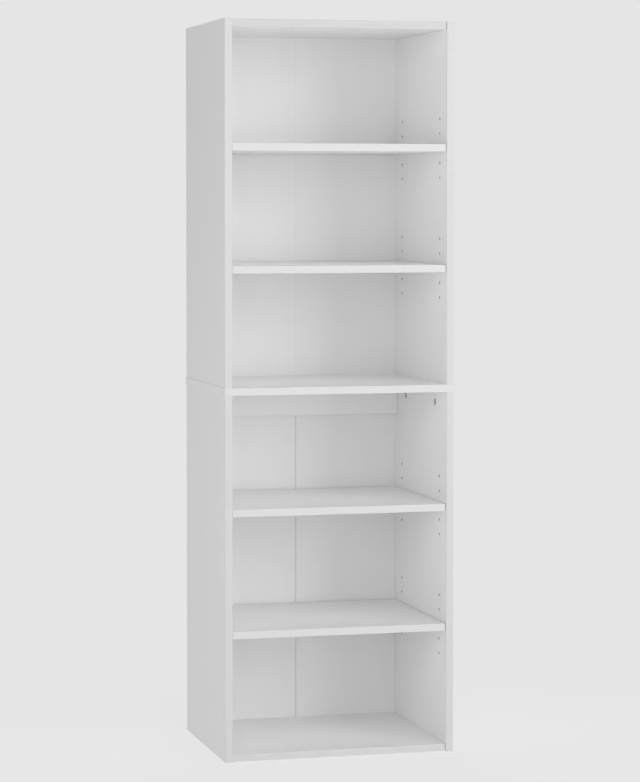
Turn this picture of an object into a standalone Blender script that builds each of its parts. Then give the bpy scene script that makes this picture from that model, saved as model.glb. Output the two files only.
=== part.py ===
"""Tall bookcase of two stacked units in white-faced chipboard, with four adjustable shelves.

Metres, +Z up. The front faces -Y. The origin is on the floor, under the middle of the bookcase.
The lower unit is two sides with a bottom panel between them and a middle panel lying on top of them.
The upper unit is two sides standing on the middle panel, with a top panel between them.
Each shelf has a stopped groove in both ends and rests on two bent wires plugged into the sides.
The panels are pulled together by cam locks that turn round the heads of connecting bolts.
"""

import math

import bmesh
import bpy
from mathutils import Matrix, Vector

# Boards
BOARD = 0.016
SIDE_HEIGHT = 0.784
SIDE_DEPTH = 0.390
OUTER_WIDTH = 0.508
MIDDLE_OVERHANG = 0.001
END_STEP = 0.001
FRONT_SETBACK = 0.003
RAIL_HEIGHT = 0.074
GAP = 0.0003

# Back panels of hardboard, each in two halves with a tape over the joint
BACK_THICKNESS = 0.003
BACK_INSET = 0.002
LOWER_SEAM = 0.003
UPPER_SEAM = 0.0004
TAPE_WIDTH = 0.040
TAPE_THICKNESS = 0.0005

# Rows of holes for the shelf wires
HOLE_RADIUS = 0.0025
HOLE_DEPTH = 0.011
HOLE_PITCH = 0.032
HOLES_IN_GROUP = 5
FRONT_COLUMN = 0.052
REAR_COLUMN_FROM_BACK = 0.050
GROUPS_FROM_OPEN_END = (0.251, 0.512)

# Shelves and their wires
SHELF_END_GAP = 0.001
SHELF_REAR_GAP = 0.002
WIRE_FIT = 0.0003
WIRE_BEND_RADIUS = 0.005
WIRE_RUN_FROM_SIDE = 0.0042
GROOVE_DEPTH = 0.0095
GROOVE_CLEARANCE_BELOW = 0.0006

# Cam locks and connecting bolts
CAM_RADIUS = 0.0073
CAM_WALL = 0.002
CAM_FLOOR = 0.0009
CAM_RECESS = 0.0003
CAM_FIT = 0.0004
CAM_FROM_END = 0.027
CROSS_LENGTH = 0.0086
CROSS_WIDTH = 0.0016
CROSS_DEPTH = 0.0022
SLOT_OVERRUN = 1.1
HEAD_RADIUS = 0.0031
HEAD_CHAMFER = 0.0009
HEAD_FIT = 0.0003
NECK_RADIUS = 0.0019
NECK_FIT = 0.0004
COLLAR_RADIUS = 0.0036
COLLAR_LENGTH = 0.0017
BORE_RADIUS = 0.004
THREAD_RADIUS = 0.0022
THREAD_LENGTH = 0.0105
THREAD_FIT = 0.0003

# Wooden dowels
DOWEL_RADIUS = 0.0037
DOWEL_FIT = 0.0003
DOWEL_CHAMFER = 0.0008
SHORT_BITE = 0.010
LONG_BITE = 0.024
RAIL_DOWEL_SPACING = 0.040

HOLE_SEGMENTS = 10
CAM_SEGMENTS = 16
ARC_STEPS = 3
SLOT_STEP_DEGREES = 18
SMOOTH_BELOW_DEGREES = 35
MERGE_DISTANCE = 1e-6
CUT_PAST = 0.002

# What follows from them
BACK_FRONT = SIDE_DEPTH + GAP
TOTAL_DEPTH = BACK_FRONT + BACK_THICKNESS + GAP + TAPE_THICKNESS
FRONT = -TOTAL_DEPTH / 2
INNER = OUTER_WIDTH / 2 - BOARD
MIDDLE_BASE = SIDE_HEIGHT + GAP
UPPER_BASE = MIDDLE_BASE + BOARD + GAP
BOTTOM_BASE = END_STEP
TOP_BASE = UPPER_BASE + SIDE_HEIGHT - END_STEP - BOARD
REAR_COLUMN = SIDE_DEPTH - REAR_COLUMN_FROM_BACK
COLUMNS = (FRONT_COLUMN, REAR_COLUMN)
CAM_ROWS = (FRONT_COLUMN + HOLE_PITCH, REAR_COLUMN - HOLE_PITCH)
WIRE_RADIUS = HOLE_RADIUS - WIRE_FIT
CAM_CAVITY = CAM_RADIUS - CAM_WALL
CAM_SLOT_DEPTH = BOARD / 2
CHAMBER_HALF = HEAD_RADIUS + HEAD_FIT + GAP
CAM_BOTTOM = CAM_SLOT_DEPTH + CHAMBER_HALF + CAM_FLOOR
CAM_POCKET_DEPTH = CAM_BOTTOM + GAP
CAM_POCKET_RADIUS = CAM_RADIUS + CAM_FIT
HEAD_FROM_CAM_AXIS = CAM_CAVITY - HEAD_FIT - HEAD_RADIUS

LOWER_GROUPS = [SIDE_HEIGHT - height for height in reversed(GROUPS_FROM_OPEN_END)]
UPPER_GROUPS = [UPPER_BASE + height for height in GROUPS_FROM_OPEN_END]
SHELF_NAMES = ("lower_shelf_1", "lower_shelf_2", "upper_shelf_1", "upper_shelf_2")
HAND = {"left": -1, "right": 1}


def make_material(name, colour, roughness, metallic=0.0):
    material = bpy.data.materials.new(name)
    material.use_nodes = True
    shader = material.node_tree.nodes["Principled BSDF"]
    shader.inputs["Base Color"].default_value = (*colour, 1.0)
    shader.inputs["Roughness"].default_value = roughness
    shader.inputs["Metallic"].default_value = metallic
    material.diffuse_color = (*colour, 1.0)
    return material


def add_object(name, mesh, material):
    """Links a mesh as a named object with its material."""
    obj = bpy.data.objects.new(name, mesh)
    if not mesh.materials:
        mesh.materials.append(material)
    bpy.context.scene.collection.objects.link(obj)
    return obj


def mesh_from(bm, name):
    bmesh.ops.recalc_face_normals(bm, faces=bm.faces)
    mesh = bpy.data.meshes.new(name)
    bm.to_mesh(mesh)
    bm.free()
    return mesh


def add_box(bm, low, high):
    """Adds a box between two opposite corners."""
    low, high = Vector(low), Vector(high)
    size = Matrix.Diagonal((*(high - low), 1.0))
    bmesh.ops.create_cube(bm, size=1.0, matrix=Matrix.Translation((low + high) / 2) @ size)


def add_cylinder(bm, start, end, radius, segments=HOLE_SEGMENTS):
    """Adds a cylinder whose axis runs from start to end."""
    start, end = Vector(start), Vector(end)
    run = end - start
    turn = run.to_track_quat("Z", "Y").to_matrix().to_4x4()
    bmesh.ops.create_cone(
        bm,
        cap_ends=True,
        segments=segments,
        radius1=radius,
        radius2=radius,
        depth=run.length,
        matrix=Matrix.Translation((start + end) / 2) @ turn,
    )


def add_board(name, low, high, material):
    bm = bmesh.new()
    add_box(bm, low, high)
    return add_object(name, mesh_from(bm, name), material)


def cut(obj, bm):
    """Cuts the shapes in a bmesh out of an object. Shapes that overlap go in separate calls."""
    cutter = bpy.data.objects.new(obj.name + "_cutter", mesh_from(bm, obj.name + "_cutter"))
    cutter.hide_render = True
    cutter.display_type = "WIRE"
    bpy.context.scene.collection.objects.link(cutter)
    modifier = obj.modifiers.new("Cut", "BOOLEAN")
    modifier.operation = "DIFFERENCE"
    modifier.solver = "EXACT"
    modifier.object = cutter


def evaluated_mesh(obj, name):
    """The mesh of an object with its modifiers applied, for copies to share."""
    graph = bpy.context.evaluated_depsgraph_get()
    mesh = bpy.data.meshes.new_from_object(obj.evaluated_get(graph))
    mesh.name = name
    return mesh


def shade_round(mesh):
    mesh.shade_smooth()
    mesh.set_sharp_from_angle(angle=math.radians(SMOOTH_BELOW_DEGREES))


def depth_at(distance):
    """World Y of a distance back from the front edge of the sides."""
    return FRONT + distance


# ---- Side panels ----


def cut_wire_holes(side, hand, heights):
    """Two columns of holes in the inner face, in a group round each shelf."""
    bm = bmesh.new()
    reach = HOLES_IN_GROUP // 2
    for height in heights:
        for step in range(-reach, HOLES_IN_GROUP - reach):
            for column in COLUMNS:
                y, z = depth_at(column), height + step * HOLE_PITCH
                mouth = (hand * (INNER - CUT_PAST), y, z)
                floor = (hand * (INNER + HOLE_DEPTH), y, z)
                add_cylinder(bm, mouth, floor, HOLE_RADIUS)
    cut(side, bm)


def cut_thread_holes(side, hand, height):
    """Holes in the inner face for the bolts of a panel that ends against it."""
    bm = bmesh.new()
    for row in CAM_ROWS:
        mouth = (hand * (INNER - CUT_PAST), depth_at(row), height)
        floor = (hand * (INNER + THREAD_LENGTH + THREAD_FIT), depth_at(row), height)
        add_cylinder(bm, mouth, floor, THREAD_RADIUS + THREAD_FIT)
    cut(side, bm)


def make_side(name, hand, base, material):
    outer, inner = hand * OUTER_WIDTH / 2, hand * INNER
    low = (min(outer, inner), depth_at(0), base)
    high = (max(outer, inner), depth_at(SIDE_DEPTH), base + SIDE_HEIGHT)
    return add_board(name, low, high, material)


def make_lower_side(hand_name, material):
    hand = HAND[hand_name]
    side = make_side(f"lower_{hand_name}_side", hand, 0.0, material)
    cut_wire_holes(side, hand, LOWER_GROUPS)
    cut_thread_holes(side, hand, BOTTOM_BASE + BOARD / 2)
    pockets, bores = bmesh.new(), bmesh.new()
    for row in CAM_ROWS:
        y, z = depth_at(row), SIDE_HEIGHT - CAM_FROM_END
        mouth = (hand * (INNER - CUT_PAST), y, z)
        floor = (hand * (INNER + CAM_POCKET_DEPTH), y, z)
        add_cylinder(pockets, mouth, floor, CAM_POCKET_RADIUS, CAM_SEGMENTS)
        x = hand * (INNER + CAM_SLOT_DEPTH)
        add_cylinder(bores, (x, y, z), (x, y, SIDE_HEIGHT + CUT_PAST), BORE_RADIUS)
    for height in rail_dowel_heights():
        y = depth_at(SIDE_DEPTH - BOARD / 2)
        mouth = (hand * (INNER - CUT_PAST), y, height)
        floor = (hand * (INNER + SHORT_BITE + DOWEL_FIT), y, height)
        add_cylinder(pockets, mouth, floor, DOWEL_RADIUS + DOWEL_FIT)
    cut(side, pockets)
    cut(side, bores)


def make_upper_side(hand_name, material):
    hand = HAND[hand_name]
    side = make_side(f"upper_{hand_name}_side", hand, UPPER_BASE, material)
    cut_wire_holes(side, hand, UPPER_GROUPS)
    cut_thread_holes(side, hand, TOP_BASE + BOARD / 2)
    bm = bmesh.new()
    for column in COLUMNS:
        x, y = hand * (INNER + BOARD / 2), depth_at(column)
        top = UPPER_BASE + LONG_BITE + DOWEL_FIT
        add_cylinder(bm, (x, y, UPPER_BASE - CUT_PAST), (x, y, top), DOWEL_RADIUS + DOWEL_FIT)
    cut(side, bm)


# ---- Panels across the bookcase ----


def make_inset_panel(name, base, face_up, material):
    """A panel between two sides, with cam pockets in the face that nobody sees."""
    end = INNER - GAP
    low = (-end, depth_at(FRONT_SETBACK), base)
    panel = add_board(name, low, (end, depth_at(SIDE_DEPTH), base + BOARD), material)
    face = base + BOARD if face_up else base
    inward = -1 if face_up else 1
    pockets, bores = bmesh.new(), bmesh.new()
    for hand in HAND.values():
        for row in CAM_ROWS:
            x, y = hand * (end - CAM_FROM_END), depth_at(row)
            mouth = (x, y, face - inward * CUT_PAST)
            floor = (x, y, face + inward * CAM_POCKET_DEPTH)
            add_cylinder(pockets, mouth, floor, CAM_POCKET_RADIUS, CAM_SEGMENTS)
            z = face + inward * CAM_SLOT_DEPTH
            add_cylinder(bores, (x, y, z), (hand * (end + CUT_PAST), y, z), BORE_RADIUS)
    cut(panel, pockets)
    cut(panel, bores)


def make_middle_panel(material):
    """The panel on top of the lower unit, drilled from below for bolts and from above for dowels."""
    half = OUTER_WIDTH / 2 + MIDDLE_OVERHANG
    low = (-half, depth_at(0), MIDDLE_BASE)
    high = (half, depth_at(TOTAL_DEPTH), MIDDLE_BASE + BOARD)
    panel = add_board("middle_panel", low, high, material)
    bm = bmesh.new()
    top = MIDDLE_BASE + BOARD
    for hand in HAND.values():
        x = hand * (INNER + BOARD / 2)
        for row in CAM_ROWS:
            ceiling = MIDDLE_BASE + THREAD_LENGTH + THREAD_FIT
            mouth = (x, depth_at(row), MIDDLE_BASE - CUT_PAST)
            add_cylinder(bm, mouth, (x, depth_at(row), ceiling), THREAD_RADIUS + THREAD_FIT)
        for column in COLUMNS:
            floor = top - SHORT_BITE - DOWEL_FIT
            mouth = (x, depth_at(column), top + CUT_PAST)
            add_cylinder(bm, mouth, (x, depth_at(column), floor), DOWEL_RADIUS + DOWEL_FIT)
    cut(panel, bm)


def rail_dowel_heights():
    middle = SIDE_HEIGHT - RAIL_HEIGHT / 2
    return (middle - RAIL_DOWEL_SPACING / 2, middle + RAIL_DOWEL_SPACING / 2)


def make_back_rail(material):
    end = INNER - GAP
    low = (-end, depth_at(SIDE_DEPTH - BOARD), SIDE_HEIGHT - RAIL_HEIGHT)
    high = (end, depth_at(SIDE_DEPTH), SIDE_HEIGHT)
    rail = add_board("lower_back_rail", low, high, material)
    bm = bmesh.new()
    y = depth_at(SIDE_DEPTH - BOARD / 2)
    for hand in HAND.values():
        for height in rail_dowel_heights():
            floor = (hand * (end - LONG_BITE - DOWEL_FIT), y, height)
            mouth = (hand * (end + CUT_PAST), y, height)
            add_cylinder(bm, floor, mouth, DOWEL_RADIUS + DOWEL_FIT)
    cut(rail, bm)


def make_back(unit, bottom, top, seam, board_material, tape_material):
    """Two hardboard halves behind the sides, and the tape that joins them."""
    outer = OUTER_WIDTH / 2 - BACK_INSET
    front, rear = depth_at(BACK_FRONT), depth_at(BACK_FRONT + BACK_THICKNESS)
    for hand_name, hand in HAND.items():
        edges = sorted((hand * seam / 2, hand * outer))
        name = f"{unit}_back_{hand_name}"
        add_board(name, (edges[0], front, bottom), (edges[1], rear, top), board_material)
    tape_front = rear + GAP
    low = (-TAPE_WIDTH / 2, tape_front, bottom)
    high = (TAPE_WIDTH / 2, tape_front + TAPE_THICKNESS, top)
    add_board(f"{unit}_back_tape", low, high, tape_material)


# ---- Shelves and wires ----


def make_shelf(name, height, board_material):
    """A shelf whose middle plane is at height, grooved in both ends to slide over the wires."""
    half = INNER - SHELF_END_GAP
    front, rear = depth_at(FRONT_SETBACK), depth_at(SIDE_DEPTH - SHELF_REAR_GAP)
    low = Vector((-half, front, height - BOARD / 2))
    high = Vector((half, rear, height + BOARD / 2))
    origin = Vector((0.0, front, height))
    shelf = add_board(name, low - origin, high - origin, board_material)
    shelf.location = origin
    bm = bmesh.new()
    stop = depth_at(FRONT_COLUMN) - WIRE_RADIUS - GAP
    below = height - WIRE_RADIUS - GROOVE_CLEARANCE_BELOW
    above = height + WIRE_RADIUS + GAP
    for hand in HAND.values():
        edges = sorted((hand * (half - GROOVE_DEPTH), hand * (half + CUT_PAST)))
        add_box(bm, (edges[0], stop, below), (edges[1], rear + CUT_PAST, above))
    cut(shelf, bm)


def wire_path(hand):
    """Points of one support wire: out of the front hole, along the shelf end, into the rear hole."""
    hole_end = hand * (INNER + HOLE_DEPTH - WIRE_FIT)
    run = hand * (INNER - WIRE_RUN_FROM_SIDE)
    bend = WIRE_BEND_RADIUS
    points = [(hole_end, depth_at(FRONT_COLUMN))]
    corners = ((FRONT_COLUMN, 1), (REAR_COLUMN, -1))
    for column, forward in corners:
        arc = []
        for step in range(ARC_STEPS + 1):
            angle = math.radians(90) * step / ARC_STEPS
            x = run + hand * bend * (1 - math.sin(angle))
            y = depth_at(column) + forward * bend * (1 - math.cos(angle))
            arc.append((x, y))
        points += arc if forward > 0 else reversed(arc)
    points.append((hole_end, depth_at(REAR_COLUMN)))
    return points


def make_wire(name, hand, height, material):
    curve = bpy.data.curves.new(name, "CURVE")
    curve.dimensions = "3D"
    curve.bevel_depth = WIRE_RADIUS
    curve.bevel_resolution = 2
    curve.use_fill_caps = True
    path = wire_path(hand)
    spline = curve.splines.new("POLY")
    spline.points.add(len(path) - 1)
    for point, (x, y) in zip(spline.points, path):
        point.co = (x, y, height, 1.0)
    curve.materials.append(material)
    wire = bpy.data.objects.new(name, curve)
    bpy.context.scene.collection.objects.link(wire)


# ---- Cam locks, bolts and dowels ----


def add_ring_sector(bm, inner, outer, half_height, middle, centre, half_angle):
    """Adds part of a ring about Z, spun through twice half_angle round the centre direction."""
    start = centre - half_angle
    corners = [
        (inner, -half_height),
        (outer, -half_height),
        (outer, half_height),
        (inner, half_height),
    ]
    turn = Matrix.Rotation(start, 3, "Z")
    verts = [bm.verts.new(turn @ Vector((0.0, r, z + middle))) for r, z in corners]
    face = bm.faces.new(verts)
    bmesh.ops.spin(
        bm,
        geom=[face, *face.edges, *face.verts],
        cent=(0, 0, 0),
        axis=(0, 0, 1),
        angle=2 * half_angle,
        steps=max(2, round(math.degrees(2 * half_angle) / SLOT_STEP_DEGREES)),
        use_merge=False,
        use_duplicate=False,
    )


def make_cam_mesh(material):
    """A cup that turns about Z, its slotted face at z = 0 and the locked bolt coming along +Y."""
    bm = bmesh.new()
    add_cylinder(bm, (0, 0, -CAM_BOTTOM), (0, 0, -CAM_RECESS), CAM_RADIUS, CAM_SEGMENTS)
    cam = add_object("cam_pattern", mesh_from(bm, "cam_pattern"), material)
    cam.hide_render = True

    cavity = bmesh.new()
    floor = -CAM_SLOT_DEPTH - CHAMBER_HALF
    add_cylinder(cavity, (0, 0, floor), (0, 0, floor + 2 * CHAMBER_HALF), CAM_CAVITY, CAM_SEGMENTS)
    cut(cam, cavity)

    inner, outer = CAM_CAVITY - CAM_WALL / 2, CAM_RADIUS + CUT_PAST
    neck_half = NECK_RADIUS + NECK_FIT
    past_neck = SLOT_OVERRUN * math.asin(neck_half / inner)
    swing = math.pi + past_neck
    slot = bmesh.new()
    add_ring_sector(slot, inner, outer, neck_half, -CAM_SLOT_DEPTH, past_neck - swing / 2, swing / 2)
    cut(cam, slot)

    entry = bmesh.new()
    entry_half = math.asin((HEAD_RADIUS + HEAD_FIT) / CAM_CAVITY)
    half_height = CHAMBER_HALF - GAP
    add_ring_sector(entry, inner, outer, half_height, -CAM_SLOT_DEPTH, math.pi, entry_half)
    cut(cam, entry)

    for length, width in ((CROSS_LENGTH, CROSS_WIDTH), (CROSS_WIDTH, CROSS_LENGTH)):
        bar = bmesh.new()
        low = (-length / 2, -width / 2, -CAM_RECESS - CROSS_DEPTH)
        add_box(bar, low, (length / 2, width / 2, CUT_PAST))
        cut(cam, bar)

    mesh = evaluated_mesh(cam, "cam_lock")
    shade_round(mesh)
    return mesh


def lathe(profile, name, segments=HOLE_SEGMENTS):
    """Turns a profile of (radius, height) about Z. It starts and ends on the axis."""
    bm = bmesh.new()
    verts = [bm.verts.new((radius, 0.0, height)) for radius, height in profile]
    edges = [bm.edges.new(pair) for pair in zip(verts, verts[1:])]
    bmesh.ops.spin(
        bm,
        geom=verts + edges,
        cent=(0, 0, 0),
        axis=(0, 0, 1),
        angle=2 * math.pi,
        steps=segments,
        use_merge=True,
        use_duplicate=False,
    )
    bmesh.ops.remove_doubles(bm, verts=bm.verts, dist=MERGE_DISTANCE)
    mesh = mesh_from(bm, name)
    shade_round(mesh)
    return mesh


def make_bolt_mesh():
    """A connecting bolt along +Z, screwed in below z = 0, with its head in the cam above."""
    head = GAP + CAM_FROM_END - HEAD_FROM_CAM_AXIS
    face = head - HEAD_RADIUS
    profile = [
        (0.0, -THREAD_LENGTH),
        (THREAD_RADIUS, -THREAD_LENGTH),
        (THREAD_RADIUS, GAP),
        (COLLAR_RADIUS, GAP),
        (COLLAR_RADIUS, GAP + COLLAR_LENGTH),
        (NECK_RADIUS, GAP + COLLAR_LENGTH),
        (NECK_RADIUS, face),
        (HEAD_RADIUS - HEAD_CHAMFER, face),
        (HEAD_RADIUS, face + HEAD_CHAMFER),
        (HEAD_RADIUS, head + HEAD_RADIUS - HEAD_CHAMFER),
        (HEAD_RADIUS - HEAD_CHAMFER, head + HEAD_RADIUS),
        (0.0, head + HEAD_RADIUS),
    ]
    return lathe(profile, "connecting_bolt")


def make_dowel_mesh():
    """A dowel along +Z, its short bite below z = 0 and its long bite above."""
    narrow = DOWEL_RADIUS - DOWEL_CHAMFER
    top = GAP + LONG_BITE
    profile = [
        (0.0, -SHORT_BITE),
        (narrow, -SHORT_BITE),
        (DOWEL_RADIUS, -SHORT_BITE + DOWEL_CHAMFER),
        (DOWEL_RADIUS, top - DOWEL_CHAMFER),
        (narrow, top),
        (0.0, top),
    ]
    return lathe(profile, "wooden_dowel")


def place(name, mesh, material, location, z_axis, y_axis):
    """Adds a copy of a shared mesh with its own Z and Y turned to the given directions."""
    z_axis, y_axis = Vector(z_axis), Vector(y_axis)
    x_axis = y_axis.cross(z_axis)
    turn = Matrix((x_axis, y_axis, z_axis)).transposed()
    obj = add_object(name, mesh, material)
    obj.matrix_world = Matrix.Translation(location) @ turn.to_4x4()


def place_cam_and_bolt(name, meshes, materials, cam_at, face_normal, bolt_at, bolt_axis):
    """A cam whose face looks along face_normal, and the bolt that points at it along bolt_axis."""
    back = [-part for part in bolt_axis]
    place(f"{name}_cam", meshes["cam"], materials["zinc"], cam_at, face_normal, back)
    place(f"{name}_bolt", meshes["bolt"], materials["steel"], bolt_at, bolt_axis, face_normal)


def make_fasteners(meshes, materials):
    inset_end = INNER - GAP
    for hand_name, hand in HAND.items():
        for place_name, row in zip(("front", "rear"), CAM_ROWS):
            y = depth_at(row)
            tail = f"{hand_name}_{place_name}"
            side_middle = hand * (INNER + BOARD / 2)
            place_cam_and_bolt(
                f"middle_{tail}",
                meshes,
                materials,
                cam_at=(hand * INNER, y, SIDE_HEIGHT - CAM_FROM_END),
                face_normal=(-hand, 0, 0),
                bolt_at=(side_middle, y, MIDDLE_BASE),
                bolt_axis=(0, 0, -1),
            )
            cam_x = hand * (inset_end - CAM_FROM_END)
            place_cam_and_bolt(
                f"bottom_{tail}",
                meshes,
                materials,
                cam_at=(cam_x, y, BOTTOM_BASE),
                face_normal=(0, 0, -1),
                bolt_at=(hand * INNER, y, BOTTOM_BASE + BOARD / 2),
                bolt_axis=(-hand, 0, 0),
            )
            place_cam_and_bolt(
                f"top_{tail}",
                meshes,
                materials,
                cam_at=(cam_x, y, TOP_BASE + BOARD),
                face_normal=(0, 0, 1),
                bolt_at=(hand * INNER, y, TOP_BASE + BOARD / 2),
                bolt_axis=(-hand, 0, 0),
            )


def make_dowels(mesh, material):
    for hand_name, hand in HAND.items():
        for place_name, column in zip(("front", "rear"), COLUMNS):
            at = (hand * (INNER + BOARD / 2), depth_at(column), MIDDLE_BASE + BOARD)
            place(f"stacking_dowel_{hand_name}_{place_name}", mesh, material, at, (0, 0, 1), (0, 1, 0))
        y = depth_at(SIDE_DEPTH - BOARD / 2)
        for place_name, height in zip(("lower", "upper"), rail_dowel_heights()):
            at = (hand * INNER, y, height)
            place(f"rail_dowel_{hand_name}_{place_name}", mesh, material, at, (-hand, 0, 0), (0, 1, 0))


# ---- The whole bookcase ----


def clear_scene():
    for obj in list(bpy.data.objects):
        bpy.data.objects.remove(obj, do_unlink=True)


def main():
    clear_scene()
    melamine = make_material("white_melamine", (0.80, 0.80, 0.80), 0.45)
    hardboard = make_material("white_hardboard", (0.76, 0.76, 0.76), 0.55)
    tape = make_material("white_tape", (0.72, 0.72, 0.70), 0.6)
    beech = make_material("beech", (0.60, 0.42, 0.24), 0.7)
    metals = {
        "zinc": make_material("cast_zinc", (0.42, 0.42, 0.43), 0.4, metallic=1.0),
        "steel": make_material("zinc_plated_steel", (0.58, 0.58, 0.60), 0.3, metallic=1.0),
    }

    for hand_name in HAND:
        make_lower_side(hand_name, melamine)
        make_upper_side(hand_name, melamine)
    make_inset_panel("bottom_panel", BOTTOM_BASE, False, melamine)
    make_inset_panel("top_panel", TOP_BASE, True, melamine)
    make_middle_panel(melamine)
    make_back_rail(melamine)
    make_back("lower", END_STEP, SIDE_HEIGHT - GAP, LOWER_SEAM, hardboard, tape)
    upper_top = UPPER_BASE + SIDE_HEIGHT - END_STEP
    make_back("upper", UPPER_BASE, upper_top, UPPER_SEAM, hardboard, tape)

    for name, height in zip(SHELF_NAMES, LOWER_GROUPS + UPPER_GROUPS):
        make_shelf(name, height, melamine)
        for hand_name, hand in HAND.items():
            make_wire(f"{name}_wire_{hand_name}", hand, height, metals["steel"])

    meshes = {"cam": make_cam_mesh(metals["zinc"]), "bolt": make_bolt_mesh()}
    make_fasteners(meshes, metals)
    make_dowels(make_dowel_mesh(), beech)


main()
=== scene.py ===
"""Looks for a tall bookcase of two stacked units in white-faced chipboard, with four adjustable shelves.

Metres, +Z up, the front facing -Y, as in the frame. Boards are rebuilt to their nodes' boxes: a chipboard
core faced with melamine, a thin plastic edging on each edge that shows, and the holes that the fittings
need. Wires, cam locks, bolts, dowels and the hardboard backs are made to their nodes' boxes too, and the
nails and locating dowels are placed from them.
"""

import math

import bmesh
import bpy
from mathutils import Matrix, Vector


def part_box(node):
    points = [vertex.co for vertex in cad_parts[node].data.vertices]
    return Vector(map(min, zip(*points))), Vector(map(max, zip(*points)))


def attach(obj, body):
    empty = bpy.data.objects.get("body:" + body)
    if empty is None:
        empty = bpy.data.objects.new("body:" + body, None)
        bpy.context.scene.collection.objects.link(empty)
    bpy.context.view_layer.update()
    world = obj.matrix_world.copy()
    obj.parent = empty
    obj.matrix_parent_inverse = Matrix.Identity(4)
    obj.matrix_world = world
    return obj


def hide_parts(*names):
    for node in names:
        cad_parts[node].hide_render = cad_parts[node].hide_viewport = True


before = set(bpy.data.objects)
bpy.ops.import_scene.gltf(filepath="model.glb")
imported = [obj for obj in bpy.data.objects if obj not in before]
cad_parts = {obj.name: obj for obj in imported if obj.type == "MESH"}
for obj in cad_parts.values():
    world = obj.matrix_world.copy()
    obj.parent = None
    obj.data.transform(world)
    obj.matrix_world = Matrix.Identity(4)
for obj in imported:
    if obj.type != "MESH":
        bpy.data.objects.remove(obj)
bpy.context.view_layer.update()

MM = 0.001
HANDS = {"left": -1, "right": 1}
UNITS = {"lower": ("lower_shelf_1", "lower_shelf_2"), "upper": ("upper_shelf_1", "upper_shelf_2")}
ROWS = ("front", "rear")
SHELVES = UNITS["lower"] + UNITS["upper"]

# Boards. The seating is how far the sides reach past their nodes to close most of the middle panel's joints.
EDGING = 0.8 * MM
EDGING_ROUND = 0.3 * MM
ROUND_STEPS = 4
ARRIS = 0.15 * MM
SEATING = {"lower": 0.2 * MM, "upper": 0.3 * MM}
BOARD_CREASE = 30

# Drilled holes. The wire holes stand on a 32 mm grid, in groups of five round each shelf.
HOLE_PITCH = 32 * MM
HOLES_EITHER_WAY = 2
HOLE_DEPTH = 11 * MM
HOLE_FIT = 0.3 * MM
RIM = 0.15 * MM
CLEAR = 0.6 * MM
BIT_SEGMENTS = 28
BIT_POINT = math.tan(math.radians(30))
BOLT_BORE_RADIUS = 4 * MM
CAM_FIT = 0.4 * MM
MERGE = 0.001 * MM

# Shelf grooves and wires
GROOVE_DEPTH = 9.5 * MM
GROOVE_ABOVE = 0.3 * MM
GROOVE_BELOW = 0.6 * MM
WIRE_BEND = 5 * MM
WIRE_CHAMFER = 0.5 * MM
WIRE_SEGMENTS = 28
WIRE_CREASE = 40
BEND_STEPS = 12

# Cam locks. The bolt's head sits this far below the cam's face.
HEAD_BELOW_FACE = 7.7 * MM
CAM_WALL = 2 * MM
CAM_FLANGE = 1.2 * MM
CAM_CHAMFER = 0.4 * MM
CAM_RELIEF = 0.25 * MM
CAVITY_HALF = 3.7 * MM
ENTRY_HALF = 3.4 * MM
NECK_SLOT_HALF = 2.3 * MM
NECK_SLOT_OVERRUN = 1.1
CROSS_LENGTH = 8.6 * MM
CROSS_WIDTH = 1.6 * MM
CROSS_DEPTH = 2.2 * MM
CROSS_TAPER = 0.72
ARROW_LENGTH = 1.5 * MM
ARROW_WIDTH = 2.0 * MM
ARROW_DEPTH = 0.3 * MM
ROUND_SEGMENTS = 64
CAM_CREASE = 35

# Connecting bolts. A turn of the thread rises, runs along its crest and falls at these shares of the pitch.
THREAD_LENGTH = 10.5 * MM
THREAD_RADIUS = 2.2 * MM
THREAD_ROOT = 1.55 * MM
THREAD_PITCH = 1.75 * MM
THREAD_CREST = (0.45, 0.55)
COLLAR_RADIUS = 3.6 * MM
COLLAR_LENGTH = 1.7 * MM
NECK_RADIUS = 1.9 * MM
HEAD_RADIUS = 3.1 * MM
HEAD_CHAMFER = 0.9 * MM
BOLT_SEGMENTS = 32
BOLT_CREASE = 35

# Wooden dowels
DOWEL_SHORT_BITE = 10 * MM
DOWEL_LONG_BITE = 24 * MM
DOWEL_RADIUS = 3.7 * MM
DOWEL_CHAMFER = 0.8 * MM
FLUTES = 14
FLUTE_DEPTH = 0.28 * MM
DOWEL_CREASE = 25

# Nails. A head is all but flat to a share of its radius, and falls by its crown at the rim.
NAIL_SPACING = 118 * MM
NAIL_HEAD_RADIUS = 2.3 * MM
NAIL_HEAD = 0.6 * MM
NAIL_CROWN = 0.18 * MM
NAIL_CROWN_SLOPE = 0.054 * MM
NAIL_CROWN_FLAT = 0.6
NAIL_RADIUS = 0.75 * MM
NAIL_LENGTH = 20 * MM
NAIL_POINT = 3 * NAIL_RADIUS
NAIL_FROM_END = 30 * MM
NAIL_SEGMENTS = 20
NAIL_CREASE = 40

# The fold of the tape in the seam between the backs, in shares of the seam's width
SEAM_PLAY = 0.1
SEAM_SINK = 0.2

# Where the floor's own tone fades out, in metres from the middle, and how bright it glows near and far
FLOOR_FADE = (0.35, 1.3)
FLOOR_GLOW = (0.715, 0.7835)
FLOOR_HALF = 80.0


# ---- Materials ----


def linear(code):
    """An sRGB hex value as a linear colour."""
    parts = [int(code[i : i + 2], 16) / 255 for i in (1, 3, 5)]
    return (*(p / 12.92 if p <= 0.04045 else ((p + 0.055) / 1.055) ** 2.4 for p in parts), 1.0)


def add_node(material, kind, inputs=None, **settings):
    """Adds a node. An input that is given a socket is linked to it, and any other input is set."""
    node = material.node_tree.nodes.new(kind)
    for name, value in settings.items():
        setattr(node, name, value)
    for name, value in (inputs or {}).items():
        if isinstance(value, bpy.types.NodeSocket):
            material.node_tree.links.new(value, node.inputs[name])
        else:
            node.inputs[name].default_value = value
    return node


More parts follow.
